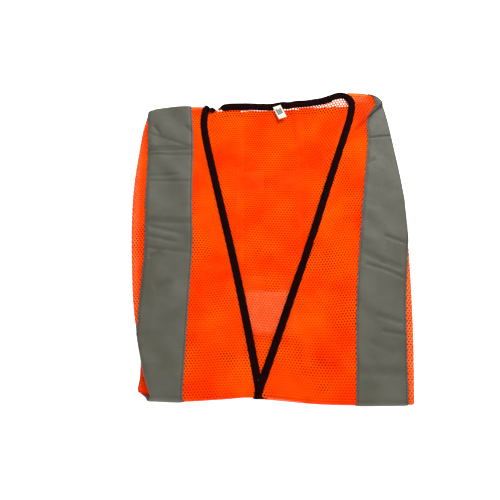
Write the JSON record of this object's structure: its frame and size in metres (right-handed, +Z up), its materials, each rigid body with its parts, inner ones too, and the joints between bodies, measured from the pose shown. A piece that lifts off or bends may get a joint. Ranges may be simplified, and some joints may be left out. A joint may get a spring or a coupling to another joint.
{
  "type": "high visibility vest",
  "caption": "Sleeveless mesh safety vest with vertical reflective tapes and dark bound edges, folded flat with its sides and lower half tucked under.",
  "frame": {"origin": "on the ground under the middle of the folded vest's box", "axes": "+Y towards the neck along the folded length, +Z up out of the front, +X to the right of someone looking down on the front"},
  "size_m": [0.292, 0.3516, 0.0127],
  "materials": {
    "orange_mesh": "fluorescent orange polyester mesh, open holes, matt",
    "reflective_tape": "grey retroreflective woven tape, fine grain, soft sheen",
    "black_binding": "black woven polyester bias binding, matt",
    "white_label": "off-white woven satin label",
    "orange_binding": "orange woven polyester bias binding, matt",
    "orange_elastic": "orange ribbed elastic webbing",
    "hook_and_loop": "black hook and loop pile"
  },
  "bodies": {
    "upper_half": {"left_front_panel": "orange_mesh", "right_front_panel": "orange_mesh", "back_panel": "orange_mesh", "left_front_tape": "reflective_tape", "left_back_tape": "reflective_tape", "right_front_tape": "reflective_tape", "right_back_tape": "reflective_tape", "left_front_binding": "black_binding", "right_front_binding": "black_binding", "back_neck_binding": "black_binding", "left_front_armhole_binding": "orange_binding", "left_back_armhole_binding": "orange_binding", "right_front_armhole_binding": "orange_binding", "right_back_armhole_binding": "orange_binding", "left_shoulder_seam": "orange_mesh", "right_shoulder_seam": "orange_mesh", "care_label": "white_label"},
    "lower_half": {"left_front_skirt": "orange_mesh", "right_front_skirt": "orange_mesh", "back_skirt": "orange_mesh", "left_front_lower_tape": "reflective_tape", "left_back_lower_tape": "reflective_tape", "right_front_lower_tape": "reflective_tape", "right_back_lower_tape": "reflective_tape", "left_edge_binding": "black_binding", "right_edge_binding": "black_binding", "left_front_side_binding": "orange_binding", "left_back_side_binding": "orange_binding", "right_front_side_binding": "orange_binding", "right_back_side_binding": "orange_binding", "left_front_hem_binding": "black_binding", "right_front_hem_binding": "black_binding", "back_hem_binding": "black_binding", "left_side_strap_1": "orange_elastic", "right_side_strap_1": "orange_elastic", "left_side_strap_2": "orange_elastic", "right_side_strap_2": "orange_elastic", "hook_patch_1": "hook_and_loop", "loop_patch_1": "hook_and_loop", "hook_patch_2": "hook_and_loop", "loop_patch_2": "hook_and_loop"},
    "size_label": {"size_label": "white_label"}
  },
  "joints": [
    {"name": "bottom_fold", "type": "hinge", "parent": "upper_half", "child": "lower_half", "pos_m": [0, -0.17623, 0.00705], "axis": [-1, 0, 0], "range_deg": [0, 180]},
    {"name": "size_label_flip", "type": "hinge", "parent": "upper_half", "child": "size_label", "pos_m": [0.01044, 0.15677, 0.01142], "axis": [-0.9272, -0.3746, 0], "range_deg": [0, 150]}
  ]
}
